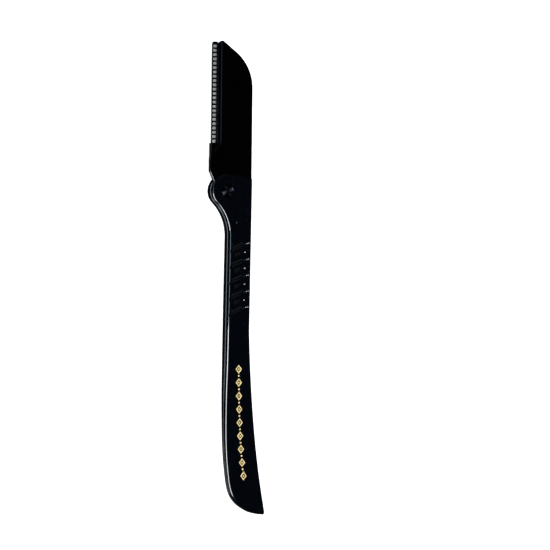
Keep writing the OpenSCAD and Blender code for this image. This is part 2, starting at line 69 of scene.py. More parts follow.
Piece = bpy.types.Object
Material = bpy.types.Material
Tree = bpy.types.NodeTree
Node = bpy.types.Node
Socket = bpy.types.NodeSocket
Point = tuple[float, float]
Pair = tuple[float, float]
Height = Callable[[np.ndarray, np.ndarray], np.ndarray]


class Body(Enum):
    """The two bodies that the pieces ride on."""

    HANDLE = "handle"
    HEAD = "head"


# Plane geometry


def arc(centre: Point, radius: float, start: float, end: float, steps: int) -> list[Point]:
    """Points along a circular arc.

    Args:
        centre: Centre of the circle.
        radius: Radius of the circle.
        start: First angle in degrees.
        end: Last angle in degrees.
        steps: Number of steps between the two.

    Returns:
        The points, both ends included.
    """
    angles = np.radians(np.linspace(start, end, steps + 1))
    return [(centre[0] + radius * math.cos(a), centre[1] + radius * math.sin(a)) for a in angles]


def circle(centre: Point, radius: float, steps: int = 64) -> list[Point]:
    """Outline of a round hole, with its material on the left."""
    return arc(centre, radius, 360, 0, steps)[:-1]


def smooth_path(knots: Sequence[Point], spacing: float) -> list[Point]:
    """A smooth path through its knots.

    Args:
        knots: Points that the path goes through.
        spacing: Longest step between two points.

    Returns:
        The points after the first knot.
    """
    p = np.array([knots[0], *knots, knots[-1]])
    out: list[Point] = []
    for i in range(1, len(p) - 2):
        a, b, c, d = p[i - 1 : i + 3]
        steps = max(3, math.ceil(math.dist(b, c) / spacing))
        for t in np.arange(1, steps + 1) / steps:
            q = b + t * (c - a) / 2 + t**2 * (2 * a - 5 * b + 4 * c - d) / 2
            q += t**3 * (3 * b - a - 3 * c + d) / 2
            out.append((float(q[0]), float(q[1])))
    return out


def turned(points: Iterable[Point], degrees: float) -> list[Point]:
    """Points turned about the rivet's axis.

    Args:
        points: Points in the plan.
        degrees: Turn, counterclockwise.

    Returns:
        The turned points.
    """
    c, s = math.cos(math.radians(degrees)), math.sin(math.radians(degrees))
    return [(x * c - y * s, x * s + y * c) for x, y in points]


def outward(points: np.ndarray) -> tuple[np.ndarray, np.ndarray]:
    """Outward normals of a closed outline that has its material on the left.

    Args:
        points: Points of the outline, one a row.

    Returns:
        Unit normals, and the factor that keeps an inset parallel at each corner.
    """
    step = np.roll(points, -1, axis=0) - points
    step /= np.linalg.norm(step, axis=1, keepdims=True)
    after = np.stack([step[:, 1], -step[:, 0]], axis=1)
    before = np.roll(after, 1, axis=0)
    mean = after + before
    mean /= np.linalg.norm(mean, axis=1, keepdims=True)
    return mean, 1 / np.maximum(LEAST_CORNER, (mean * after).sum(axis=1))


def inside(points: np.ndarray, loops: Sequence[np.ndarray]) -> np.ndarray:
    """Tells which points lie inside an outline and outside its holes.

    Args:
        points: Points to test, one a row.
        loops: Outline and holes.

    Returns:
        True for each point that is inside.
    """
    count = np.zeros(len(points), dtype=int)
    x, y = points[:, 0], points[:, 1]
    for loop in loops:
        for (x0, y0), (x1, y1) in zip(loop, np.roll(loop, -1, axis=0)):
            if y0 == y1:
                continue
            crosses = (y0 > y) != (y1 > y)
            count += crosses & (x < x0 + (y - y0) * (x1 - x0) / (y1 - y0))
    return count % 2 == 1


# Mesh building


def to_frame(points: np.ndarray) -> np.ndarray:
    """Moves plan points in millimetres to the frame's place in metres."""
    return points * MM + np.array([PIVOT[0], PIVOT[1], 0.0])


def level(z: float) -> Height:
    """A flat surface at some height."""
    return lambda x, y: np.full(len(x), z)


def new_mesh(name: str, verts: np.ndarray, faces: list, normals: np.ndarray | None = None) -> Piece:
    """Makes a mesh object.

    Args:
        name: Name of the piece.
        verts: Points in the plan, in millimetres.
        faces: Corners of each face.
        normals: Shading normal at each point, or None to smooth all but the sharp edges.

    Returns:
        The new object.
    """
    mesh = bpy.data.meshes.new(name)
    mesh.from_pydata([tuple(v) for v in to_frame(verts)], [], faces)
    mesh.validate()
    mesh.shade_smooth()
    if normals is None:
        mesh.set_sharp_from_angle(angle=math.radians(SMOOTH_DEGREES))
    else:
        mesh.normals_split_custom_set_from_vertices([tuple(n) for n in normals])
    piece = bpy.data.objects.new(name, mesh)
    bpy.context.scene.collection.objects.link(piece)
    return piece


@dataclass
class Rim:
    """A closed outline of a plate, with its material on the left.

    Attributes:
        points: Points of the outline.
        upper: Rounding of the upper edge, one radius or one for each point.
        lower: Rounding of the lower edge.
        draft: Lean of the wall, as the share of its height that the upper edge stands further in.
        chamfer: Width and drop of a flat on the upper edge, in place of the rounding.
        chamfer_share: Share of the chamfer's size that each point has.
        blend: Width of the soft bend at either side of the chamfer.
    """

    points: Sequence[Point]
    upper: float | np.ndarray = 0.05
    lower: float = 0.05
    draft: float = 0.0
    chamfer: Pair | None = None
    chamfer_share: float | np.ndarray = 1.0
    blend: float = 0.015

    def upper_steps(self, steps: int) -> list[tuple[np.ndarray | float, np.ndarray | float, float]]:
        """Steps of the upper edge, from the surface to the wall.

        Args:
            steps: Number of steps of a rounding.

        Returns:
            Inset, drop and angle of the normal above the wall's, in degrees, of each step.
        """
        if self.chamfer is None:
            turns = np.radians(np.linspace(90, 0, steps + 1))
            size = self.upper
            return [(size * (1 - math.cos(a)), size * (1 - math.sin(a)), math.degrees(a)) for a in turns]
        width, drop = [size * self.chamfer_share for size in self.chamfer]
        face = math.degrees(math.atan2(*self.chamfer))
        return [
            (width + self.blend, 0.0, 90.0),
            (width, self.blend / 2, face),
            (self.blend / 2, drop, face),
            (0.0, drop + self.blend, 0.0),
        ]


@dataclass
class Plate:
    """A plate between two surfaces, with rounded rims and true shading normals.

    Attributes:
        top: Height of the upper surface at a place.
        foot: Height of the lower surface at a place.
        rims: Outline first, then the holes.
        extra: More points for the upper surface.
        lines: Lines that the faces of the upper surface keep to.
        steps: Steps of each rounding.
    """

    top: Height
    foot: Height
    rims: list[Rim]
    extra: np.ndarray = field(default_factory=lambda: np.zeros((0, 2)))
    lines: list[tuple[Point, Point]] = field(default_factory=list)
    steps: int = 6

    def face(self, upper: bool) -> tuple[Height, float]:
        """The upper or the lower surface, and 1 or -1 for the way that it looks."""
        return (self.top, 1.0) if upper else (self.foot, -1.0)

    def slope(self, surface: Height, at: np.ndarray) -> np.ndarray:
        """Tells which way a surface looks.

        Args:
            surface: Height of the surface at a place.
            at: Places in the plan, one a row.

        Returns:
            Upward unit normals.
        """
        x, y, near = at[:, 0], at[:, 1], 0.01
        gx = (surface(x + near, y) - surface(x - near, y)) / (2 * near)
        gy = (surface(x, y + near) - surface(x, y - near)) / (2 * near)
        n = np.stack([-gx, -gy, np.ones_like(x)], axis=1)
        return n / np.linalg.norm(n, axis=1, keepdims=True)

    def ring(
        self, rim: Rim, inset: np.ndarray | float, drop: np.ndarray | float, angle: float, upper: bool
    ) -> tuple[np.ndarray, np.ndarray, np.ndarray]:
        """One ring of an edge.

        Args:
            rim: The outline.
            inset: Distance in from the wall.
            drop: Distance from the surface.
            angle: 0 where it faces as the wall does and 90 where it faces as the surface does, in degrees.
            upper: True for the upper edge.

        Returns:
            Places in the plan, points and normals.
        """
        flat = np.array(rim.points)
        out, factor = outward(flat)
        x, y = flat[:, 0], flat[:, 1]
        lean = rim.draft * (self.top(x, y) - self.foot(x, y)) if upper else 0.0
        at = flat - out * (factor * (inset + lean))[:, None]
        surface, sign = self.face(upper)
        z = surface(at[:, 0], at[:, 1]) - sign * drop
        c, s = math.cos(math.radians(angle)), math.sin(math.radians(angle))
        slope = self.slope(surface, at) * sign
        normal = np.concatenate([out * c, np.full((len(flat), 1), rim.draft * c)], axis=1) + slope * s
        return at, np.column_stack([at, z]), normal / np.linalg.norm(normal, axis=1, keepdims=True)

    def cap(
        self, loops: list[np.ndarray], starts: list[int], upper: bool, count: int
    ) -> tuple[np.ndarray, np.ndarray, list]:
        """Fills the surface between the innermost rings.

        Args:
            loops: Places of the innermost rings.
            starts: Number of the first point of each ring.
            upper: True for the upper surface.
            count: Number of points made so far.

        Returns:
            New points, their normals, and the faces.
        """
        surface, sign = self.face(upper)
        coords = [Vector(p) for loop in loops for p in loop]
        numbers = [start + i for start, loop in zip(starts, loops) for i in range(len(loop))]
        edges, first = [], 0
        for loop in loops:
            edges += [(first + i, first + (i + 1) % len(loop)) for i in range(len(loop))]
            first += len(loop)
        if upper:
            for a, b in self.lines:
                edges.append((len(coords), len(coords) + 1))
                coords += [Vector(a), Vector(b)]
            if len(self.extra):
                coords += [Vector(p) for p in self.extra[inside(self.extra, loops)]]
        flat, _, tris, from_coord, _, _ = delaunay_2d_cdt(coords, edges, [], 0, TINY)
        flat = np.array([tuple(v) for v in flat])
        tris = np.array(tris)
        tris = tris[inside(flat[tris].mean(axis=1), loops)]
        number, fresh = np.full(len(flat), -1), []
        for i, sources in enumerate(from_coord):
            known = [s for s in sources if s < len(numbers)]
            if known:
                number[i] = numbers[known[0]]
        for i in np.unique(tris):
            if number[i] < 0:
                number[i] = count + len(fresh)
                fresh.append(flat[i])
        at = np.array(fresh) if fresh else np.zeros((0, 2))
        points = np.column_stack([at, surface(at[:, 0], at[:, 1])])
        normals = self.slope(surface, at) * sign
        a, b, c = flat[tris[:, 0]], flat[tris[:, 1]], flat[tris[:, 2]]
        ccw = np.cross(b - a, c - a) > 0
        faces = [tuple(number[t] if way == upper else number[t[::-1]]) for t, way in zip(tris, ccw)]
        return points, normals, [tuple(int(k) for k in f) for f in faces if len(set(f)) == 3]

    def build(self, name: str) -> Piece:
        """Builds the plate.

        Args:
            name: Name of the piece.

        Returns:
            The new object.
        """
        points, normals, faces = [], [], []
        tops, feet, top_starts, foot_starts, count = [], [], [], [], 0
        for rim in self.rims:
            size = len(rim.points)
            under = Rim(rim.points, rim.lower).upper_steps(self.steps)
            rings = [self.ring(rim, *step, True) for step in rim.upper_steps(self.steps)]
            rings += [self.ring(rim, *step, False) for step in under[::-1]]
            for k in range(len(rings) - 1):
                for i in range(size):
                    a, b = count + k * size + i, count + k * size + (i + 1) % size
                    faces.append((a, a + size, b + size, b))
            tops.append(rings[0][0])
            feet.append(rings[-1][0])
            top_starts.append(count)
            foot_starts.append(count + (len(rings) - 1) * size)
            points += [r[1] for r in rings]
            normals += [r[2] for r in rings]
            count += len(rings) * size
        for loops, starts, upper in ((tops, top_starts, True), (feet, foot_starts, False)):
            more, their_normals, tris = self.cap(loops, starts, upper, count)
            points.append(more)
            normals.append(their_normals)
            faces += tris
            count += len(more)
        return new_mesh(name, np.concatenate(points), faces, np.concatenate(normals))


def lathe(name: str, profile: Sequence[Point], centre: Point = (0.0, 0.0), steps: int = 128) -> Piece:
    """Turns a profile about an upright axis.

    Args:
        name: Name of the piece.
        profile: Radius and height pairs from the top centre to the bottom centre.
        centre: Place of the axis in the plan.
        steps: Number of steps round the axis.

    Returns:
        The new object.
    """
    turn = np.arange(steps) * 2 * math.pi / steps
    verts: list[tuple[float, float, float]] = []
    rings: list[list[int]] = []
    for r, z in profile:
        if r < TINY:
            rings.append([len(verts)])
            verts.append((centre[0], centre[1], z))
            continue
        rings.append(list(range(len(verts), len(verts) + steps)))
        verts += [(centre[0] + r * math.cos(t), centre[1] + r * math.sin(t), z) for t in turn]
    faces: list[tuple[int, ...]] = []
    for upper, lower in zip(rings, rings[1:]):
        for i in range(steps):
            j = (i + 1) % steps
            if len(upper) == 1:
                faces.append((upper[0], lower[i], lower[j]))
            elif len(lower) == 1:
                faces.append((upper[i], lower[0], upper[j]))
            else:
                faces.append((upper[i], lower[i], lower[j], upper[j]))
    return new_mesh(name, np.array(verts), faces)


# Materials


def linear(colour: str) -> tuple[float, float, float, float]:
    """Turns a colour to linear.

    Args:
        colour: The colour in sRGB, as a hash sign and six hex digits.

    Returns:
        Linear red, green and blue, with full alpha.
    """
    parts = [int(colour[i : i + 2], 16) / 255 for i in (1, 3, 5)]
    r, g, b = [c / 12.92 if c <= 0.04045 else ((c + 0.055) / 1.055) ** 2.4 for c in parts]
    return (r, g, b, 1.0)


def add_node(
    tree: Tree,
    kind: str,
    settings: dict[str, object] | None = None,
    values: dict[str, object] | None = None,
    links: dict[str, Socket] | None = None,
) -> Node:
    """Adds a node with its settings and links.

    Args:
        tree: Node tree that gets the node.
        kind: Name of the node's type, without its prefix.
        settings: Properties of the node.
        values: Value of each named input.
        links: Output that feeds each named input.

    Returns:
        The new node.
    """
    made = tree.nodes.new("ShaderNode" + kind)
    for key, value in (settings or {}).items():
        setattr(made, key, value)
    for key, value in (values or {}).items():
        made.inputs[key].default_value = value
    for key, output in (links or {}).items():
        tree.links.new(output, made.inputs[key])
    return made


def per_mm(size_mm: float) -> float:
    """Texture scale that gives features of a size in millimetres, on coordinates in metres."""
    return 1 / (size_mm * MM)


@dataclass(frozen=True)
class Finish:
    """What all finishes share: a name, a colour in sRGB and a roughness.

    In the finishes below, spread is what the grain adds to the roughness at its low and at its high
    places, and relief is the strength of the grain's bumps and their height in millimetres.
    """

    name: str
    colour: str
    roughness: float

    def start(self, metallic: float = 0.0) -> tuple[Material, Tree, Node, Socket]:
        """Makes a plain material.

        Args:
            metallic: 1 for bare metal, 0 for plastic, and between the two for lacquered foil.

        Returns:
            The material, its tree, its shader and the coordinates on the piece.
        """
        material = bpy.data.materials.new(self.name)
        material.use_nodes = True
        tree = material.node_tree
        tree.nodes.clear()
        plain = {"Base Color": linear(self.colour), "Roughness": self.roughness, "Metallic": metallic}
        shader = add_node(tree, "BsdfPrincipled", values=plain)
        add_node(tree, "OutputMaterial", links={"Surface": shader.outputs["BSDF"]})
        return material, tree, shader, add_node(tree, "TexCoord").outputs["Object"]

    def add_grain(
        self,
        tree: Tree,
        shader: Node,
        place: Socket,
        size_mm: float,
        grain: dict[str, float],
        spread: Pair | None = None,
        relief: Pair | None = None,
        part: Pair = (0.0, 1.0),
    ) -> Socket:
        """Lets a fine uneven grain, as making and use leave it, drive the roughness and the relief.

        Args:
            tree: Node tree of the material.
            shader: Its shader.
            place: Coordinates on the piece.
            size_mm: Size of the grain.
            grain: Detail and roughness of the grain.
            spread: What the grain adds to the roughness at its low and at its high places.
            relief: Strength and height in millimetres of the grain's relief.
            part: Part of the grain that the spread goes over.

        Returns:
            The grain, for other uses.
        """
        values = {"Scale": per_mm(size_mm), **grain}
        noise = add_node(tree, "TexNoise", values=values, links={"Vector": place})
        if spread:
            ends = {"From Min": part[0], "From Max": part[1]}
            ends |= {"To Min": self.roughness + spread[0], "To Max": self.roughness + spread[1]}
            rough = add_node(tree, "MapRange", values=ends, links={"Value": noise.outputs["Fac"]})
            tree.links.new(rough.outputs["Result"], shader.inputs["Roughness"])
        if relief:
            height = {"Strength": relief[0], "Distance": relief[1] * MM}
            bump = add_node(tree, "Bump", values=height, links={"Height": noise.outputs["Fac"]})
            tree.links.new(bump.outputs["Normal"], shader.inputs["Normal"])
        return noise.outputs["Fac"]


@dataclass(frozen=True)
class PolishedAbs(Finish):
    """Black ABS moulded in a polished tool: mirror-like gloss with a faint ripple and handling haze."""

    ior: float = 1.5
    ripple_mm: float = 6.0
    ripple_relief: Pair = (0.35, 0.02)
    haze_mm: float = 9.0
    haze: float = 0.05
    haze_part: Pair = (0.35, 0.75)

    def make(self) -> Material:
        """Makes the material.

        Returns:
            The material.
        """
        material, tree, shader, place = self.start()
        shader.inputs["IOR"].default_value = self.ior
        # Moulded ABS is never quite even: grip haze lifts the roughness a little in patches
        patches = {"Detail": 4.0, "Roughness": 0.6}
        self.add_grain(tree, shader, place, self.haze_mm, patches, (0.0, self.haze), part=self.haze_part)
        # Sink ripple of a thin moulding, about 6 mm from crest to crest
        self.add_grain(tree, shader, place, self.ripple_mm, {"Detail": 1.0}, relief=self.ripple_relief)
        return material


@dataclass(frozen=True)
class BlackedSteel(Finish):
    """Steel turned on a lathe and blacked: dark metal that glints in two opposite fans."""

    tooth_mm: float = 0.25
    spread: Pair = (-0.05, 0.06)
    relief: Pair = (0.3, 0.01)

    def make(self) -> Material:
        """Makes the material.

        Returns:
            The material.
        """
        material, tree, shader, place = self.start(metallic=1.0)
        # The tooth of blacked steel is finer than this; it is drawn at 0.25 mm so that it shows
        self.add_grain(tree, shader, place, self.tooth_mm, {"Detail": 3.0}, self.spread, self.relief)
        return material


@dataclass(frozen=True)
class GroundSteel(Finish):
    """Stainless strip, ground across: fine scratches at right angles to the edge."""

    scratch_mm: float = 0.12
    spread: Pair = (-0.1, 0.15)
    relief: Pair = (0.4, 0.01)
    stretch: tuple[float, float, float] = (0.06, 1.0, 1.0)

    def make(self) -> Material:
        """Makes the material.

        Returns:
            The material.
        """
        material, tree, shader, place = self.start(metallic=1.0)
        # Real grinding marks are about 0.02 mm apart; they are drawn at 0.12 mm so that they show
        drawn = add_node(tree, "Mapping", values={"Scale": self.stretch}, links={"Vector": place})
        across = drawn.outputs["Vector"]
        self.add_grain(tree, shader, across, self.scratch_mm, {"Detail": 3.0}, self.spread, self.relief)
        return material


@dataclass(frozen=True)
class StampedFoil(Finish):
    """Gold foil, stamped hot onto the plastic: pale metal with a soft, slightly crinkled sheen. Its colour
    is painted darker gold in the crinkle's hollows as painted shade and pale cream on its crests as painted
    highlight.
    """

    painted_shade: str = "#93701c"
    metallic: float = 0.25
    crinkle_mm: float = 0.5
    relief: Pair = (0.5, 0.02)
    painted_shade_stops: Pair = (0.3, 0.55)

    def make(self) -> Material:
        """Makes the material.

        Returns:
            The material.
        """
        # A tinted lacquer lies over the metal, so the foil is less of a mirror than bare gold
        material, tree, shader, place = self.start(self.metallic)
        # Stamping leaves a crinkle of about half a millimetre
        rough = {"Detail": 4.0, "Roughness": 0.7}
        crinkle_and_painted_shade = self.add_grain(tree, shader, place, self.crinkle_mm, rough, relief=self.relief)
        # The crinkle's height also paints the colour: darker gold in its hollows as painted shade, pale
        # cream on its crests as painted highlight
        ramp = add_node(tree, "ValToRGB", links={"Fac": crinkle_and_painted_shade})
        stops = ramp.color_ramp.elements
        for stop, position, colour in zip(stops, self.painted_shade_stops, (self.painted_shade, self.colour)):
            stop.position = position
            stop.color = linear(colour)
        tree.links.new(ramp.outputs["Color"], shader.inputs["Base Color"])
        return material


@dataclass(frozen=True)
class RolledMetal(Finish):
    """Rolled or drawn metal for inner parts, such as brass washers and steel dowels."""

    patch_mm: float = 0.4
    spread: Pair = (-0.08, 0.1)

    def make(self) -> Material:
        """Makes the material.

        Returns:
            The material.
        """
        material, tree, shader, place = self.start(metallic=1.0)
        # The marks of rolling and drawing are finer than this; they are drawn at 0.4 mm so that they show
        self.add_grain(tree, shader, place, self.patch_mm, {"Detail": 3.0}, self.spread)
        return material


@dataclass(frozen=True)
class LightTable(Finish):
    """White acrylic of a light table: pale, matt, and lit from within so that shadows stay faint."""

    specular: float = 0.1
    glow: float = 0.72
    tooth_mm: float = 2.0
    relief: Pair = (0.1, 0.02)

    def make(self) -> Material:
        """Makes the material.

        Returns:
            The material.
        """
        material, tree, shader, place = self.start()
        shader.inputs["Specular IOR Level"].default_value = self.specular
        shader.inputs["Emission Strength"].default_value = self.glow
        shader.inputs["Emission Color"].default_value = linear("#ffffff")
        # The tooth of sanded acrylic is finer than this; it is drawn at 2 mm so that it shows
        self.add_grain(tree, shader, place, self.tooth_mm, {"Detail": 2.0}, relief=self.relief)
        return material


@dataclass
class Finishes:
    """Every finish on the razor, made once."""

    scale: Material = field(default_factory=PolishedAbs("polished_black_abs", "#03050a", 0.05).make)
    core: Material = field(default_factory=PolishedAbs("satin_black_abs", "#050608", 0.3).make)
    holder: Material = field(default_factory=PolishedAbs("polished_holder_abs", "#010102", 0.05).make)
    guard: Material = field(default_factory=PolishedAbs("guard_black_abs", "#010102", 0.2).make)
    rivet: Material = field(default_factory=BlackedSteel("turned_blacked_steel", "#0d0e11", 0.16).make)
    pin: Material = field(default_factory=BlackedSteel("worn_pin_steel", "#34353a", 0.14).make)
    blade: Material = field(default_factory=GroundSteel("ground_blade_steel", "#b2aba1", 0.44).make)
    foil: Material = field(default_factory=StampedFoil("stamped_gold_foil", "#f7e2a0", 0.42).make)
    brass: Material = field(default_factory=RolledMetal("rolled_brass", "#c2a35a", 0.3).make)
    steel: Material = field(default_factory=RolledMetal("drawn_steel", "#a8a8aa", 0.3).make)


def dress(piece: Piece, finish: Material, body: Body, slot: str, *nodes: str) -> None:
    """Gives a piece its finish and ties it to the frame.

    Args:
        piece: The new piece.
        finish: Its material.
        body: Body that it rides on.
        slot: The record's material slot; not used.
        nodes: CAD nodes that it stands for.
    """
    piece.data.materials.append(finish)
    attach(piece, body.value)
    if nodes:
        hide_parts(*nodes)
    log.info("%s: %d faces, for %s", piece.name, len(piece.data.polygons), ", ".join(nodes) or "nothing")


def redress(node: str, finish: Material) -> None:
    """Gives a CAD node that stays a better material.

    Args:
        node: Name of the node.
        finish: Its material.
    """
    kept = frame["nodes"][node]
    for slot in kept.material_slots:
        slot.material = finish
    log.info("%s: kept, in %s", node, finish.name)


# The razor


@dataclass
class Groove:
    """One groove of the grip.

    Attributes:
        end: Its spine end in the plan.
        length: Its length.
        half: Half its width.
        cups: Distance of each finger cup from the spine end.
        cup_r: Radius of the cups.
    """

    end: Point
    length: float
    half: float
    cups: tuple[float, ...]
    cup_r: float


@dataclass
class Handle:
    """The handle: two scales with a spacer between them, and the grip and ornament on the front."""

    # Outline in the plan
    reach: float = 109.2
    nose_r: float = 5.55
    spine_x: float = 8.62
    pinch: float = 1.0
    waist_x: float = 0.6
    hollow_r: float = 15.7
    flare_start: float = 47.0
    flare_power: float = 1.62
    tail_x: float = 14.0
    top_slope: float = 9.0
    corner_r: float = 0.6
    tip_r: float = 0.8
    # Blade side: share of the reach, and share of the way across from the waist to the tip
    edge_shares: tuple[Point, ...] = (
        (0.227, -0.019), (0.375, -0.049), (0.524, -0.075), (0.647, -0.091), (0.772, -0.077), (0.864, -0.02),
        (0.927, 0.075), (0.963, 0.267), (0.988, 0.586), (0.997, 0.837), (1.0, 1.0),
    )
    edge_step: float = 0.2

    # Thickness, which tapers to the tail
    back_t: float = 2.4
    front_t: float = 1.2
    gap: float = 1.8
    taper_start: float = 48.0
    taper_end: float = 100.0
    back_taper: float = 1.6
    core_taper: float = 0.7

    # Rims, and the stretches along the handle where they change
    blade_rim: float = 0.55
    rim_shares: tuple[Point, ...] = ((-74.0, 0.75), (-60.0, 1.0), (-18.0, 1.0), (-12.0, 0.78))
    spine_rim: float = 0.3
    tail_rim: float = 0.12
    tail_rim_span: Pair = (5.0, 9.0)
    nose_rim: float = 0.1
    nose_rim_span: Pair = (-0.8, 2.0)
    foot_rim: float = 0.12
    tail_inset: float = 0.16
    inset_span: Pair = (-94.0, -66.0)
    back_draft: float = 0.09
    back_lip: Pair = (0.12, 0.06)
    lip_fade: tuple[Point, ...] = ((-107.0, 0.15), (-92.0, 0.2), (-74.0, 0.45), (-60.0, 1.0))
    bore_rim: float = 0.04
    bore_foot_rim: float = 0.06
    pin_rim: float = 0.03

    # Spacer and channel
    core_inset: float = 0.15
    core_wall: float = 2.2
    core_gap: float = 0.02
    core_rim: float = 0.03
    core_step: float = 0.1
    core_stop_step: float = 0.4
    core_tail_x: float = 5.0
    channel_reach: float = 77.0
    channel_r: float = 5.0
    stop_drop: float = 1.55
    head_lean: float = 0.7

    # Holes of the rivet and the catch pin
    rivet_hole: float = 2.32
    pin: Point = (3.35, -10.6)
    pin_hole: float = 0.42

    # Grooves of the grip, long and short by turns
    grip_start: float = 17.55
    grip_margin: float = 0.66
    groove_count: int = 9
    groove_pitch: float = 2.69
    groove_depth: float = 0.17
    groove_deepening: Pair = (0.7, 0.5)
    groove_fades: Pair = (2.0, 0.6)
    groove_near: Pair = (2.0, 5.0)
    groove_slope: float = 8.0
    groove_bend: float = 0.035
    groove_long: float = 6.5
    long_half: float = 0.95
    groove_short: float = 4.2
    short_half: float = 0.65
    short_inset: float = 1.3
    short_fall: float = 0.15

    # Nicks where the long grooves run out over the rim
    nick: float = 0.75
    nick_half: float = 0.45
    nick_reach: float = 1.0

    # Finger cups at the spine ends of the grooves
    long_cup_r: float = 0.31
    short_cup_r: float = 0.42
    cup_slopes: Pair = (48.0, 28.0)
    cup_pitch: float = 0.64

    # Fine mesh of the grip
    grid_pitch: float = 0.13
    grid_x: Pair = (0.9, 7.6)
    grid_over: Pair = (3.2, 1.2)
    cup_margin: float = 0.06
    cup_rings: tuple[float, ...] = (1.06, 1.02, 0.98, 0.9, 0.8, 0.7, 0.6, 0.5, 0.35, 0.15)
    cup_steps: int = 36

    def taper(self, y: np.ndarray) -> np.ndarray:
        """Share of the thinning reached at a place along the handle."""
        t = np.clip((-y - self.taper_start) / (self.taper_end - self.taper_start), 0, 1)
        return (1 - np.cos(np.pi * t)) / 2

    def back_top(self, x: np.ndarray, y: np.ndarray) -> np.ndarray:
        """Height of the back scale's inner face."""
        return self.back_t - self.back_taper * self.taper(y)

    def front_foot(self, x: np.ndarray, y: np.ndarray) -> np.ndarray:
        """Height of the front scale's inner face."""
        return self.back_t + self.gap - (self.back_taper + self.core_taper) * self.taper(y)

    def front_top(self, x: np.ndarray, y: np.ndarray) -> np.ndarray:
        """Height of the front scale's outer face, grooves included."""
        return self.front_foot(x, y) + self.front_t - self.groove_at(x, y)

    def spine_edge(self, y: np.ndarray | float) -> np.ndarray:
        """Spine side of the handle.

        Args:
            y: Places along the handle.

        Returns:
            Place across the handle at each.
        """
        y = np.asarray(y, dtype=float)
        drawn_in = self.pinch * np.clip(-y / self.flare_start, 0, 1)
        flare = np.maximum(0, (-y - self.flare_start) / (self.reach - self.flare_start)) ** self.flare_power
        return self.spine_x - drawn_in + (self.tail_x - self.spine_x + self.pinch) * flare

    def outline(self) -> list[Point]:
        """Outline of the scales.

        Returns:
            Points counterclockwise from the top of the nose.
        """
        reach = self.nose_r + self.hollow_r
        centre = (self.waist_x - self.hollow_r, -math.sqrt(reach**2 - (self.hollow_r - self.waist_x) ** 2))
        turn = math.degrees(math.atan2(-centre[1], -centre[0]))
        tip_y = self.tip_r - self.reach
        tip = (float(self.spine_edge(tip_y)) - self.tip_r, tip_y)
        knots = [(self.waist_x, centre[1])]
        knots += [(self.waist_x + s * (tip[0] - self.waist_x), -r * self.reach) for r, s in self.edge_shares]
        slope = math.radians(self.top_slope)
        corner_x = self.spine_x - self.corner_r
        corner = (corner_x, (self.nose_r - self.corner_r - corner_x * math.sin(slope)) / math.cos(slope))
        points = arc((0, 0), self.nose_r, 90 - self.top_slope, 180 + turn, 72)
        points += arc(centre, self.hollow_r, turn, 0, 24)[1:]
        points += smooth_path(knots, self.edge_step)
        points += arc(tip, self.tip_r, -90, 0, 12)[1:]
        points += [(float(self.spine_edge(y)), float(y)) for y in np.linspace(tip_y, corner[1], 120)[1:-1]]
        points += arc(corner, self.corner_r, 0, 90 - self.top_slope, 8)
        return points

    def grooves(self) -> list[Groove]:
        """Places the grooves of the grip: long ones that run out at the blade side, and short ones between.

        Returns:
            The grooves, from the rivet down.
        """
        made = []
        for i in range(self.groove_count):
            y = -self.grip_start - i * self.groove_pitch
            x = float(self.spine_edge(y)) - self.grip_margin
            if i % 2 == 0:
                cups = (0.0, self.cup_pitch)
                made.append(Groove((x, y), self.groove_long, self.long_half, cups, self.long_cup_r))
            else:
                end = (x - self.short_inset, y - self.axis_fall(self.short_inset) - self.short_fall)
                made.append(Groove(end, self.groove_short, self.short_half, (0.0,), self.short_cup_r))
        return made

    def axis_fall(self, run: np.ndarray | float) -> np.ndarray | float:
        """Fall of a groove's axis at some distance from its spine end."""
        return run * math.tan(math.radians(self.groove_slope)) + self.groove_bend * run**2

    def cups(self) -> list[tuple[Point, float]]:
        """Places the finger cups at the spine ends of the grooves.

        Returns:
            Centre and radius of each cup.
        """
        made = []
        for groove in self.grooves():
            for run in groove.cups:
                run += groove.cup_r
                centre = (groove.end[0] - run, groove.end[1] - float(self.axis_fall(run)))
                made.append((centre, groove.cup_r))
        return made

    def groove_at(self, x: np.ndarray, y: np.ndarray) -> np.ndarray:
        """Depth of the grip's grooves at a place on the front face.

        Args:
            x: Places across the handle.
            y: Places along the handle.

        Returns:
            Depth at each place, zero outside the grooves.
        """
        depth = np.zeros(np.broadcast(x, y).shape)
        above, below = self.groove_near
        last = self.grip_start + self.groove_count * self.groove_pitch
        if not ((y < above - self.grip_start) & (y > -below - last)).any():
            return depth
        for groove in self.grooves():
            run = groove.end[0] - x
            off = (y - groove.end[1] + self.axis_fall(run)) / groove.half
            across = np.where(np.abs(off) < 1, (1 + np.cos(np.pi * off)) / 2, 0)
            start = groove.cups[-1] + 2 * groove.cup_r
            ends = np.clip((run - start) / self.groove_fades[0], 0, 1)
            ends *= np.clip((groove.length - run) / self.groove_fades[1], 0, 1)
            deeper = self.groove_deepening[0] + self.groove_deepening[1] * run / groove.length
            depth = np.maximum(depth, self.groove_depth * groove.half * deeper * across * ends * (2 - ends))
        outer, inner = [math.tan(math.radians(a)) for a in self.cup_slopes]
        for (cx, cy), radius in self.cups():
            inward = np.maximum(radius - np.hypot(x - cx, y - cy), 0)
            depth = np.maximum(depth, inward * (outer - (outer - inner) * inward / (2 * radius)))
        return depth

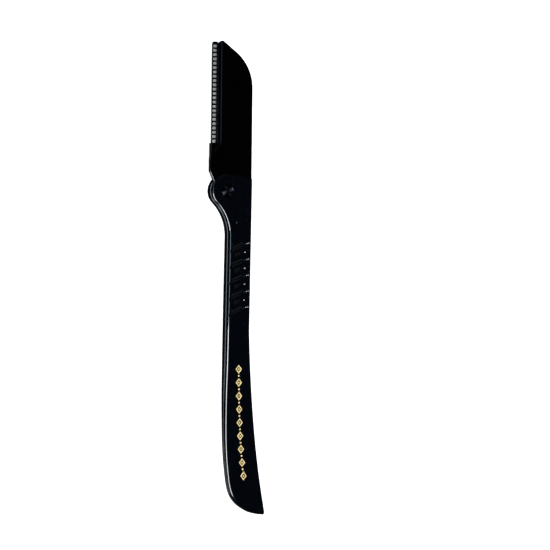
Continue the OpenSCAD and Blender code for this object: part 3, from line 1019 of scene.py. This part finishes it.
    def grip_points(self) -> np.ndarray:
        """Places for the fine mesh of the grip: a grid, with rings of points in each cup.

        Returns:
            The places, one a row.
        """
        below, above = self.grid_over
        last = self.grip_start + (self.groove_count - 1) * self.groove_pitch
        xs = np.arange(*self.grid_x, self.grid_pitch)
        ys = np.arange(-last - below, -self.grip_start + above, self.grid_pitch)
        grid = np.array([(x, y) for y in ys for x in xs])
        turns = np.arange(self.cup_steps) * math.pi / (self.cup_steps / 2)
        rings = []
        for (cx, cy), radius in self.cups():
            grid = grid[np.hypot(grid[:, 0] - cx, grid[:, 1] - cy) > radius + self.cup_margin]
            for r in [share * radius for share in self.cup_rings]:
                rings += [(cx + r * math.cos(t), cy + r * math.sin(t)) for t in turns]
        return np.concatenate([grid, np.array(rings)])

    def front_edge(self) -> np.ndarray:
        """Outline of the front scale, which stands in a little along the blade side of the tail.

        Returns:
            Points of the outline, one a row.
        """
        outer = np.array(self.outline())
        out, _ = outward(outer)
        share = np.interp(outer[:, 1], self.inset_span, (1.0, 0.0)) * np.maximum(0, -out[:, 0])
        return outer - out * (self.tail_inset * share)[:, None]

    def rim_radii(self, outer: np.ndarray) -> np.ndarray:
        """Rounding of the front scale's rim: full along the blade side, less elsewhere.

        Args:
            outer: Points of the outline.

        Returns:
            The radius at each point, nicked where the long grooves run out.
        """
        x, y = outer[:, 0], outer[:, 1]
        side = outward(outer)[0][:, 0]
        blade_rim = self.blade_rim * np.interp(y, *zip(*self.rim_shares))
        rim = (self.spine_rim + blade_rim) / 2 + (self.spine_rim - blade_rim) / 2 * side
        tail = [above - self.reach for above in self.tail_rim_span]
        rim = np.minimum(rim, np.interp(y, tail, (self.tail_rim, 1.0)))
        rim = np.minimum(rim, np.interp(y, self.nose_rim_span, (1.0, self.nose_rim)))
        for groove in self.grooves()[::2]:
            run = groove.end[0] - x
            off = (y - groove.end[1] + self.axis_fall(run)) / self.nick_half
            rim = rim * (1 - self.nick * np.exp(-(off**2)) * (x < self.waist_x + self.nick_reach))
        return rim

    def front_scale(self) -> Piece:
        """Builds the front scale.

        Returns:
            The new object.
        """
        outer = self.front_edge()
        plate = Plate(
            top=self.front_top,
            foot=self.front_foot,
            rims=[
                Rim(outer, self.rim_radii(outer), self.foot_rim),
                Rim(circle((0, 0), self.rivet_hole, 96), self.bore_rim, self.bore_rim),
                Rim(circle(self.pin, self.pin_hole, 32), self.pin_rim, self.pin_rim),
            ],
            extra=self.grip_points(),
        )
        return plate.build("front_scale_shell")

    def back_scale(self) -> Piece:
        """Builds the back scale.

        Returns:
            The new object.
        """
        outer = np.array(self.outline())
        fade = np.interp(outer[:, 1], *zip(*self.lip_fade))
        plate = Plate(
            top=self.back_top,
            foot=level(0.0),
            rims=[
                Rim(outer, 0.0, self.foot_rim, self.back_draft, self.back_lip, fade),
                Rim(circle((0, 0), self.rivet_hole, 96), self.bore_rim, self.bore_foot_rim),
            ],
        )
        return plate.build("back_scale_shell")

    def core_x(self, y: float) -> float:
        """Inner side of the spacer's wall at a place along the handle."""
        return float(self.spine_edge(y)) - self.core_wall

    def stop_y(self, x: float) -> float:
        """Face of the spacer that stops the open head, at a place across the handle."""
        return -self.stop_drop - math.tan(math.radians(self.head_lean)) * x

    def spacer(self) -> Piece:
        """Builds the spacer: spine wall, stop face and solid tail.

        Returns:
            The new object.
        """
        outer = np.array(self.outline())
        out, factor = outward(outer)
        shell = [tuple(p) for p in outer - out * (factor * self.core_inset)[:, None]]
        end_y = self.channel_r - self.channel_reach
        tail_y = -self.channel_reach - self.core_step
        tail = [(x, y) for x, y in shell if y < tail_y and x <= self.core_tail_x]
        spine = [(x, y) for x, y in shell if x > self.core_tail_x and y < self.stop_y(x) - self.core_step]
        spine = [(x, y) for x, y in spine if x > self.core_x(y) or y < -self.channel_reach]
        top_in, top_out = self.core_x(-self.stop_drop), spine[-1][0]
        wall = np.linspace(-self.stop_drop - self.core_stop_step, end_y, 90)
        points = [(top_in, self.stop_y(top_in))]
        points += [(self.core_x(y), float(y)) for y in wall]
        points += arc((self.core_x(end_y) - self.channel_r, end_y), self.channel_r, 0, -90, 12)[1:]
        points += [(tail[0][0], -self.channel_reach), *tail, *spine]
        points += [(top_out, self.stop_y(top_out))]
        plate = Plate(
            top=lambda x, y: self.front_foot(x, y) - self.core_gap,
            foot=lambda x, y: self.back_top(x, y) + self.core_gap,
            rims=[Rim(points, self.core_rim, self.core_rim)],
            steps=2,
        )
        return plate.build("spine_spacer_core")

    def build(self, finishes: Finishes) -> None:
        """Builds and dresses the handle.

        Args:
            finishes: The razor's finishes.
        """
        dress(self.front_scale(), finishes.scale, Body.HANDLE, "black_plastic", "front_scale")
        dress(self.back_scale(), finishes.scale, Body.HANDLE, "black_plastic", "back_scale")
        dress(self.spacer(), finishes.core, Body.HANDLE, "inner_plastic", "spine_spacer")
        redress("tail_ornament", finishes.foil)
        for node in ("dowel_1", "dowel_2", "dowel_3", "dowel_4"):
            redress(node, finishes.steel)


@dataclass
class Rivet:
    """The pivot: barrel and post, both with turned heads, two washers and the catch pin."""

    # Turned heads and the barrel between them
    top: float = 5.5
    seat: float = 5.0
    head_r: float = 2.3
    edge_r: float = 0.07
    barrel_r: float = 1.5
    barrel_low: float = 0.55
    back_low: float = 0.1
    back_high: float = 0.5

    # Rings and the centre mark that the lathe left
    dimple: tuple[Point, ...] = ((0.0, 0.05), (0.12, 0.02))
    ring_start: float = 0.25
    ring_margin: float = 0.2
    ring_pitch: float = 0.2
    ring_steps: int = 4
    ring_depth: Pair = (0.04, 0.07)
    depth_start: float = 0.3
    depth_share: float = 0.8

    # Catch pin
    pin: Point = Handle.pin
    pin_r: float = 0.4
    pin_top: float = 5.4
    pin_dome: float = 0.12
    pin_low: float = 4.12

    def turned_face(self, level: float, sign: float) -> list[Point]:
        """Profile of a turned face with its rings.

        Args:
            level: Height of the face.
            sign: 1 for a face that looks up and -1 for one that looks down.

        Returns:
            Radius and height pairs from the centre to the edge.
        """
        points: list[Point] = [(r, level - sign * deep) for r, deep in self.dimple]
        deepens = (self.depth_start, self.depth_share * self.head_r)
        step = self.ring_pitch / self.ring_steps
        for r in np.arange(self.ring_start, self.head_r - self.ring_margin, step):
            wave = math.sin(2 * math.pi * r / self.ring_pitch)
            depth = float(np.interp(r, deepens, self.ring_depth))
            points.append((float(r), level - sign * depth * (1 + wave) / 2))
        for a in np.radians(np.linspace(0, 90, 7)):
            r = self.head_r - self.edge_r + self.edge_r * math.sin(a)
            points.append((r, level - sign * self.edge_r * (1 - math.cos(a))))
        return points

    def build(self, finishes: Finishes) -> None:
        """Builds and dresses the rivet and the pin.

        Args:
            finishes: The razor's finishes.
        """
        front = self.turned_face(self.top, 1.0)
        front += [(self.head_r, self.seat), (self.barrel_r, self.seat)]
        front += [(self.barrel_r, self.barrel_low), (0.0, self.barrel_low)]
        dress(lathe("rivet_front_head", front), finishes.rivet, Body.HANDLE, "black_steel", "rivet_barrel")
        back = self.turned_face(self.back_low, -1.0)
        back += [(self.head_r, self.back_high), (0.0, self.back_high)]
        dress(lathe("rivet_back_head", back[::-1]), finishes.rivet, Body.HANDLE, "black_steel", "rivet_post")
        turns = np.radians(np.linspace(0, 90, 9))
        dome = [(self.pin_r * math.sin(a), self.pin_top + self.pin_dome * math.cos(a)) for a in turns]
        dome += [(self.pin_r, self.pin_low), (0.0, self.pin_low)]
        pin = lathe("catch_pin_dome", dome, self.pin, 48)
        dress(pin, finishes.pin, Body.HANDLE, "black_steel", "catch_pin")
        redress("front_washer", finishes.brass)
        redress("back_washer", finishes.brass)


@dataclass
class Head:
    """The folding head: two clamped halves, the blade between them and the guard over its edge."""

    # Outline before the head leans
    reach: float = 50.65
    spine_x: float = 8.86
    crown_r: float = 15.5
    crown_slope: float = 36.8
    peak_x: float = 2.05
    peak_r: float = 0.8
    peak_slope: float = 31.5
    base_x: float = 6.1
    base_reach: float = 16.1
    base_step: float = 0.08
    step_reach: float = 11.0
    corner_r: float = 0.25
    neck_reach: float = 6.6
    neck_slope: float = 24.8
    eye_r: float = 4.9
    stop_r: float = 0.5
    stop_drop: float = 1.5
    lean: float = Handle.head_lean

    # Heights, and the bevel down to the lip beside the guard
    low: float = 2.5
    mid: float = 3.3
    high: float = 4.1
    lip_t: float = 0.95
    bevel_w: float = 1.09
    bevel_end: float = 1.4
    crease: float = 0.5
    ramp_l: float = 0.12

    # Mesh lines along the crease and up the ramp at its end
    crease_lines: int = 5
    lines_over: float = 0.3
    ramp_lines: tuple[float, ...] = (0.0, 0.04, 0.08, 0.12, 0.15)
    ramp_sides: Pair = (0.4, 0.25)

    # Rims and the bore
    edge_r: float = 0.15
    lip_r: float = 0.04
    side_r: float = 0.2
    tang_r: float = 0.1
    parting_r: float = 0.02
    bore_r: float = 1.55
    bore_rim: float = 0.04

    # Guard, with its windows and its waved edge
    guard_x: float = 5.6
    guard_w: float = 2.15
    guard_t: float = 0.6
    guard_r: float = 0.7
    guard_turn: float = 170.0
    guard_rise: float = 0.5
    guard_rim: float = 0.1
    window_count: int = 23
    window_rest: float = 0.6
    window_margin: float = 0.22
    window_w: float = 1.22
    window_r: float = 0.2
    window_rim: float = 0.07
    rib_w: float = 0.53
    rim_w: float = 0.32
    wave: float = 0.05
    wave_start: float = 0.5
    wave_steps: int = 8

    @property
    def lip_x(self) -> float:
        """Distance from the rivet's axis to the inner side of the guard."""
        return self.guard_x - self.guard_w

    @property
    def lip_top(self) -> float:
        """Reach of the head's blade side."""
        return self.reach - (self.lip_x - self.peak_x) * math.tan(math.radians(self.peak_slope))

    @property
    def guard_l(self) -> float:
        """Length of the guard."""
        return self.lip_top + self.guard_rise - self.base_reach

    @property
    def window_pitch(self) -> float:
        """Distance between neighbouring windows, which share the guard's length."""
        return (self.guard_l - self.window_margin - self.window_rest) / self.window_count

    def outline(self) -> tuple[list[Point], np.ndarray]:
        """Outline of the head before it leans.

        Returns:
            Points counterclockwise from the peak, and the upper rounding at each.
        """
        crown_slope = math.radians(self.crown_slope)
        across, up = math.sin(crown_slope), math.cos(crown_slope)
        crown_x = self.spine_x - self.crown_r
        crown = (crown_x, (-across * self.peak_x + up * self.reach - self.crown_r - crown_x * across) / up)
        slope = math.radians(self.neck_slope)
        along = np.array([math.sin(slope), -math.cos(slope)])
        top = np.array([-self.base_x, self.neck_reach])
        back = -top @ along
        end = top + along * (back - math.sqrt(back**2 - top @ top + self.eye_r**2))
        eye_start = math.degrees(math.atan2(end[1], end[0])) % 360
        eye_end = 360 - math.degrees(math.asin(self.stop_drop / self.eye_r))
        small, side, tang = self.edge_r, self.side_r, self.tang_r
        peak = (-self.peak_x, self.reach - self.peak_r)
        base = (self.base_step + self.corner_r - self.base_x, self.base_reach - self.corner_r)
        stop = (self.spine_x - self.stop_r, self.stop_r - self.stop_drop)
        lip_ys = np.linspace(self.lip_top, self.base_reach, 60)
        tang_ys = np.linspace(self.step_reach, self.neck_reach, 6)
        stretches: list[tuple[list[Point], float]] = [
            (arc(peak, self.peak_r, 90 - self.crown_slope, 90 + self.peak_slope, 8), small),
            ([(-self.lip_x, float(y)) for y in lip_ys], self.lip_r),
            (arc(base, self.corner_r, 90, 180, 6), small),
            ([(self.base_step - self.base_x, self.step_reach + self.base_step)], small),
            ([(-self.base_x, float(y)) for y in tang_ys], tang),
            ([tuple(top + (end - top) * t) for t in np.linspace(0, 1, 8)[1:-1]], side),
            (arc((0, 0), self.eye_r, eye_start, eye_end, 60), small),
            (arc(stop, self.stop_r, -90, 0, 6), small),
            (arc(crown, self.crown_r, 0, 90 - self.crown_slope, 48), small),
        ]
        points = [p for stretch, _ in stretches for p in stretch]
        radii = np.array([r for stretch, r in stretches for _ in stretch])
        return points, radii

    def local(self, x: np.ndarray, y: np.ndarray) -> tuple[np.ndarray, np.ndarray]:
        """Turns places in the plan back to the head before it leans."""
        c, s = math.cos(math.radians(self.lean)), math.sin(math.radians(self.lean))
        return x * c - y * s, x * s + y * c

    def half_height(self, x: np.ndarray, y: np.ndarray) -> np.ndarray:
        """Height of the outer face above the parting plane, bevel included.

        Args:
            x: Places across the razor.
            y: Places along the razor.

        Returns:
            Height at each place.
        """
        lx, ly = self.local(x, y)
        drop = (self.high - self.low - self.lip_t) / 2
        start = self.lip_x - self.bevel_w
        t = np.clip((-lx - start + self.crease / 2) / self.bevel_w, 0, self.bevel_end)
        # The bevel starts softly and is closed at the base by a short ramp
        share = self.crease / self.bevel_w
        soft = np.where(t < share, t * t / (2 * share), t - share / 2)
        ramp = np.clip((ly - self.base_reach) / self.ramp_l, 0, 1)
        return self.high - self.mid - drop * soft * ramp

    def lines(self) -> list[tuple[Point, Point]]:
        """Draws the lines that keep the bevel's faces straight.

        Returns:
            Ends of each line in the plan.
        """
        start = self.lip_x - self.bevel_w
        low, high = self.base_reach, self.lip_top + self.lines_over
        left, right = self.ramp_sides[0] - start, self.ramp_sides[1] - self.lip_x
        span = range(-self.crease_lines, self.crease_lines + 1)
        made = []
        for share in [i / (2 * self.crease_lines) for i in span] + [1.0]:
            x = -start - share * self.crease
            made.append(tuple(turned([(x, low + self.ramp_lines[-1]), (x, high)], -self.lean)))
        for y in [low + up for up in self.ramp_lines]:
            made.append(tuple(turned([(left, y), (right, y)], -self.lean)))
        return made

    def half(self, name: str, front: bool) -> Piece:
        """Builds one half of the head.

        Args:
            name: Name of the piece.
            front: True for the half under the front scale.

        Returns:
            The new object.
        """
        points, radii = self.outline()
        outer = turned(points, -self.lean)
        bore = circle((0, 0), self.bore_r)
        plate = Plate(
            top=lambda x, y: self.mid + self.half_height(x, y),
            foot=level(self.mid),
            rims=[Rim(outer, radii, self.parting_r), Rim(bore, self.bore_rim, self.parting_r)],
            lines=self.lines(),
        )
        piece = plate.build(name)
        if not front:
            mirror = Matrix.Translation((0, 0, 2 * self.mid * MM)) @ Matrix.Diagonal((1, 1, -1, 1))
            piece.data.transform(mirror)
            piece.data.flip_normals()
        return piece

    def window(self, low: float) -> list[Point]:
        """Outline of one window, with its material on the left.

        Args:
            low: Reach of its lower side.

        Returns:
            The points, before the head leans.
        """
        left, high = self.rim_w - self.guard_x, low + (self.window_pitch - self.rib_w)
        right, r = left + self.window_w, self.window_r
        hole = arc((left + r, high - r), r, 180, 90, 5) + arc((right - r, high - r), r, 90, 0, 5)
        return hole + arc((right - r, low + r), r, 0, -90, 5) + arc((left + r, low + r), r, 270, 180, 5)

    def guard(self) -> Piece:
        """Builds the guard with its windows.

        Returns:
            The new object.
        """
        low, high = self.base_reach, self.base_reach + self.guard_l
        left, right, r = -self.guard_x, -self.lip_x, self.guard_r
        outer = arc((right - r, high - r), r, 0, 90, 10)
        outer += arc((left + r, high - r), r, 90, self.guard_turn, 10)
        for y in np.linspace(high - r, low, self.window_count * self.wave_steps):
            turn = 2 * math.pi * (y - low - self.window_margin - self.wave_start) / self.window_pitch
            outer.append((left - self.wave / 2 * (1 + math.cos(turn)), float(y)))
        outer += [(right, low), (right, (low + high) / 2)]
        rims = [Rim(turned(outer, -self.lean), self.guard_rim, self.guard_rim)]
        for i in range(self.window_count):
            hole = self.window(low + self.window_margin + i * self.window_pitch)
            rims.append(Rim(turned(hole, -self.lean), self.window_rim, self.window_rim))
        half = self.guard_t / 2
        plate = Plate(
            top=level(self.mid + half),
            foot=level(self.mid - half),
            rims=rims,
            steps=4,
        )
        return plate.build("guard_comb_strip")

    def build(self, finishes: Finishes) -> None:
        """Builds and dresses the head.

        Args:
            finishes: The razor's finishes.
        """
        front = self.half("head_front_shell", True)
        dress(front, finishes.holder, Body.HEAD, "black_plastic", "head_front_half")
        back = self.half("head_back_shell", False)
        dress(back, finishes.holder, Body.HEAD, "black_plastic", "head_back_half")
        dress(self.guard(), finishes.guard, Body.HEAD, "black_plastic", "guard_comb")
        redress("blade", finishes.blade)


# The studio


@dataclass(frozen=True)
class Panel:
    """One soft light.

    Attributes:
        name: Name of the light.
        azimuth: Direction in the plan, counterclockwise from +X, in degrees.
        elevation: Angle above the floor, in degrees.
        distance: Distance from what it looks at, in metres.
        size: Width and height, in metres.
        radiance: Radiance of its face.
        aim: Point that it looks at, in millimetres from the rivet's axis.
        roll: Turn about its own axis, in degrees.
        colour: Its colour in sRGB.
        mirrored: True if glossy surfaces show it.
        spread: True if it lights matt surfaces too.
    """

    name: str
    azimuth: float
    elevation: float
    distance: float
    size: Pair
    radiance: float
    aim: Point = (0.0, -30.0)
    roll: float = 0.0
    colour: str = "#ffffff"
    mirrored: bool = True
    spread: bool = False


@dataclass
class Studio:
    """Pale floor and backdrop, soft lights and the camera at the photograph's angle."""

    tilt: float = 20.5
    distance: float = 2.0
    sensor_mm: float = 36.0
    clip: Pair = (0.05, 20.0)
    mm_per_px: float = 0.3373
    pivot_px: Point = (222.25, 190.7)
    aim_z: float = 3.0
    table_z: float = -0.02
    table_half: float = 4000.0
    wall_r: float = 3500.0
    wall_z: float = 3000.0
    wall_steps: int = 64
    panels: tuple[Panel, ...] = (
        Panel("key", 180, 33, 0.24, (0.223, 0.15), 31.0, (0, -153)),
        Panel("dim_left", 180, 55, 0.30, (0.27, 0.13), 8.5, (0, -121), colour="#d8ecf4"),
        Panel("dim_nose", 150, 61, 0.30, (0.12, 0.07), 8.5, (0, 0), colour="#d8ecf4"),
        Panel("dim_hollow", 244, 54, 0.30, (0.10, 0.07), 8.5, (0, -5), colour="#d8ecf4"),
        Panel("zenith", 0, 87.5, 1.0, (0.6, 0.19), 1.1, (0, -60), colour="#b8d4ff"),
        Panel("low_front", -60, 56, 1.0, (0.9, 0.5), 0.24, (0, -60), -30, "#e8e8f0"),
        Panel("low_back", 60, 56, 1.0, (0.9, 0.4), 0.16, (0, 20), 30, "#e8e8f0"),
        Panel("top", 95, 35, 1.0, (0.7, 0.25), 3.5),
        Panel("overhead", 20, 80, 1.6, (1.6, 1.6), 2.2, mirrored=False, spread=True),
    )

    def light(self, panel: Panel) -> None:
        """Adds one light that looks at the razor.

        Args:
            panel: What the light is like.
        """
        data = bpy.data.lights.new(panel.name, "AREA")
        data.shape = "RECTANGLE"
        data.size, data.size_y = panel.size
        data.energy = panel.radiance * math.pi * panel.size[0] * panel.size[1]
        data.color = linear(panel.colour)[:3]
        lamp = bpy.data.objects.new(panel.name, data)
        a, e = math.radians(panel.azimuth), math.radians(panel.elevation)
        away = Vector((math.cos(a) * math.cos(e), math.sin(a) * math.cos(e), math.sin(e)))
        target = Vector((PIVOT[0] + panel.aim[0] * MM, PIVOT[1] + panel.aim[1] * MM, self.aim_z * MM))
        lamp.location = target + away * panel.distance
        roll = Matrix.Rotation(math.radians(panel.roll), 3, "Z")
        lamp.rotation_mode = "QUATERNION"
        lamp.rotation_quaternion = ((-away).to_track_quat("-Z", "Y").to_matrix() @ roll).to_quaternion()
        lamp.visible_camera = False
        lamp.visible_glossy = panel.mirrored
        lamp.visible_diffuse = panel.spread
        bpy.context.scene.collection.objects.link(lamp)

    def stage(self) -> None:
        """Adds the floor and the round backdrop."""
        paper = LightTable("white_light_table", "#f4f4f2", 0.9).make()
        half, steps = self.table_half, self.wall_steps
        corners = [(-half, -half), (half, -half), (half, half), (-half, half)]
        table = np.array([(x, y, self.table_z) for x, y in corners])
        floor = new_mesh("studio_floor", table, [(0, 1, 2, 3)])
        ring = arc((0, 0), self.wall_r, 0, 360, steps)[:-1]
        rows = np.array([(x, y, z) for z in (self.table_z, self.wall_z) for x, y in ring])
        sides = [(i, steps + i, steps + (i + 1) % steps, (i + 1) % steps) for i in range(steps)]
        wall = new_mesh("studio_backdrop", rows, sides)
        for piece in (floor, wall):
            piece.data.materials.append(paper)
            piece.visible_glossy = False

    def camera(self) -> None:
        """Places the camera so that the razor lands on its pixels in the photograph."""
        tilt = math.radians(self.tilt)
        right = Vector((math.cos(tilt), 0, math.sin(tilt)))
        back = Vector((-math.sin(tilt), 0, math.cos(tilt)))
        middle = (IMAGE_PX - 1) / 2
        pivot = Vector((PIVOT[0], PIVOT[1], 0))
        aim = pivot + right * ((middle - self.pivot_px[0]) * self.mm_per_px * MM)
        aim += Vector((0, 1, 0)) * ((self.pivot_px[1] - middle) * self.mm_per_px * MM)
        data = bpy.data.cameras.new("camera")
        data.sensor_width = self.sensor_mm
        data.lens = self.sensor_mm * self.distance / (IMAGE_PX * self.mm_per_px * MM)
        data.clip_start, data.clip_end = self.clip
        camera = bpy.data.objects.new("camera", data)
        turn = Matrix((right, Vector((0, 1, 0)), back)).transposed().to_4x4()
        camera.matrix_world = Matrix.Translation(aim + back * self.distance) @ turn
        bpy.context.scene.collection.objects.link(camera)
        bpy.context.scene.camera = camera

    def build(self) -> None:
        """Builds the studio."""
        scene = bpy.context.scene
        world = bpy.data.worlds.new("studio_world")
        world.use_nodes = True
        sky = world.node_tree.nodes["Background"]
        sky.inputs["Color"].default_value = linear("#06080a")
        sky.inputs["Strength"].default_value = 1.0
        scene.world = world
        scene.view_settings.view_transform = "Standard"
        for panel in self.panels:
            self.light(panel)
        self.stage()
        self.camera()


def main() -> None:
    """Builds the razor and the studio."""
    logging.basicConfig(level=logging.INFO, format="%(name)s: %(message)s")
    Studio().build()
    finishes = Finishes()
    for part in (Handle(), Rivet(), Head()):
        log.info("building %s", type(part).__name__)
        part.build(finishes)


if __name__ == "__main__":
    main()
